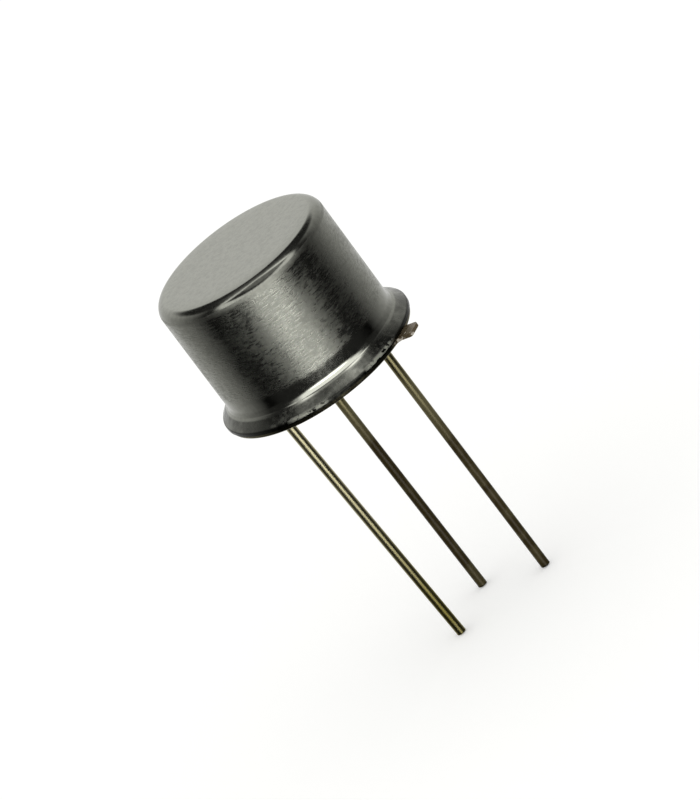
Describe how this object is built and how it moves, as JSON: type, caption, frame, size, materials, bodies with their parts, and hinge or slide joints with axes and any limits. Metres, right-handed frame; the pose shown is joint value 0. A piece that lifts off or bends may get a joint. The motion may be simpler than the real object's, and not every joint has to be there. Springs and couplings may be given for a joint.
{
  "type": "metal-can transistor",
  "caption": "Metal-can power transistor: a round nickel cap with a flared rim, welded to a gold-plated header with an index tab and long round wire leads.",
  "frame": {"origin": "centre of the seating plane, the flat underside of the header's flange", "axes": "+Z along the cap, away from the leads; +X towards the emitter lead; +Y towards the base lead"},
  "size_m": [0.0094, 0.0094, 0.0198],
  "materials": {
    "nickel_cap": "satin nickel with fine turned scratches",
    "gold_plated_header": "dull gold plate, browned by the weld at the tab",
    "sealing_glass": "dark fused glass, glossy",
    "gold_plated_wire": "gold-plated drawn wire, slightly dull",
    "solder": "matt tin-lead solder",
    "silicon": "polished silicon with metal combs",
    "aluminium_wire": "bright drawn aluminium"
  },
  "bodies": {
    "root": {"cap": "nickel_cap", "header": "gold_plated_header", "glass_seal": "sealing_glass", "emitter_lead": "gold_plated_wire", "base_lead": "gold_plated_wire", "collector_lead": "gold_plated_wire", "die_solder": "solder", "silicon_die": "silicon", "emitter_wire": "aluminium_wire", "base_wire": "aluminium_wire"}
  },
  "joints": []
}
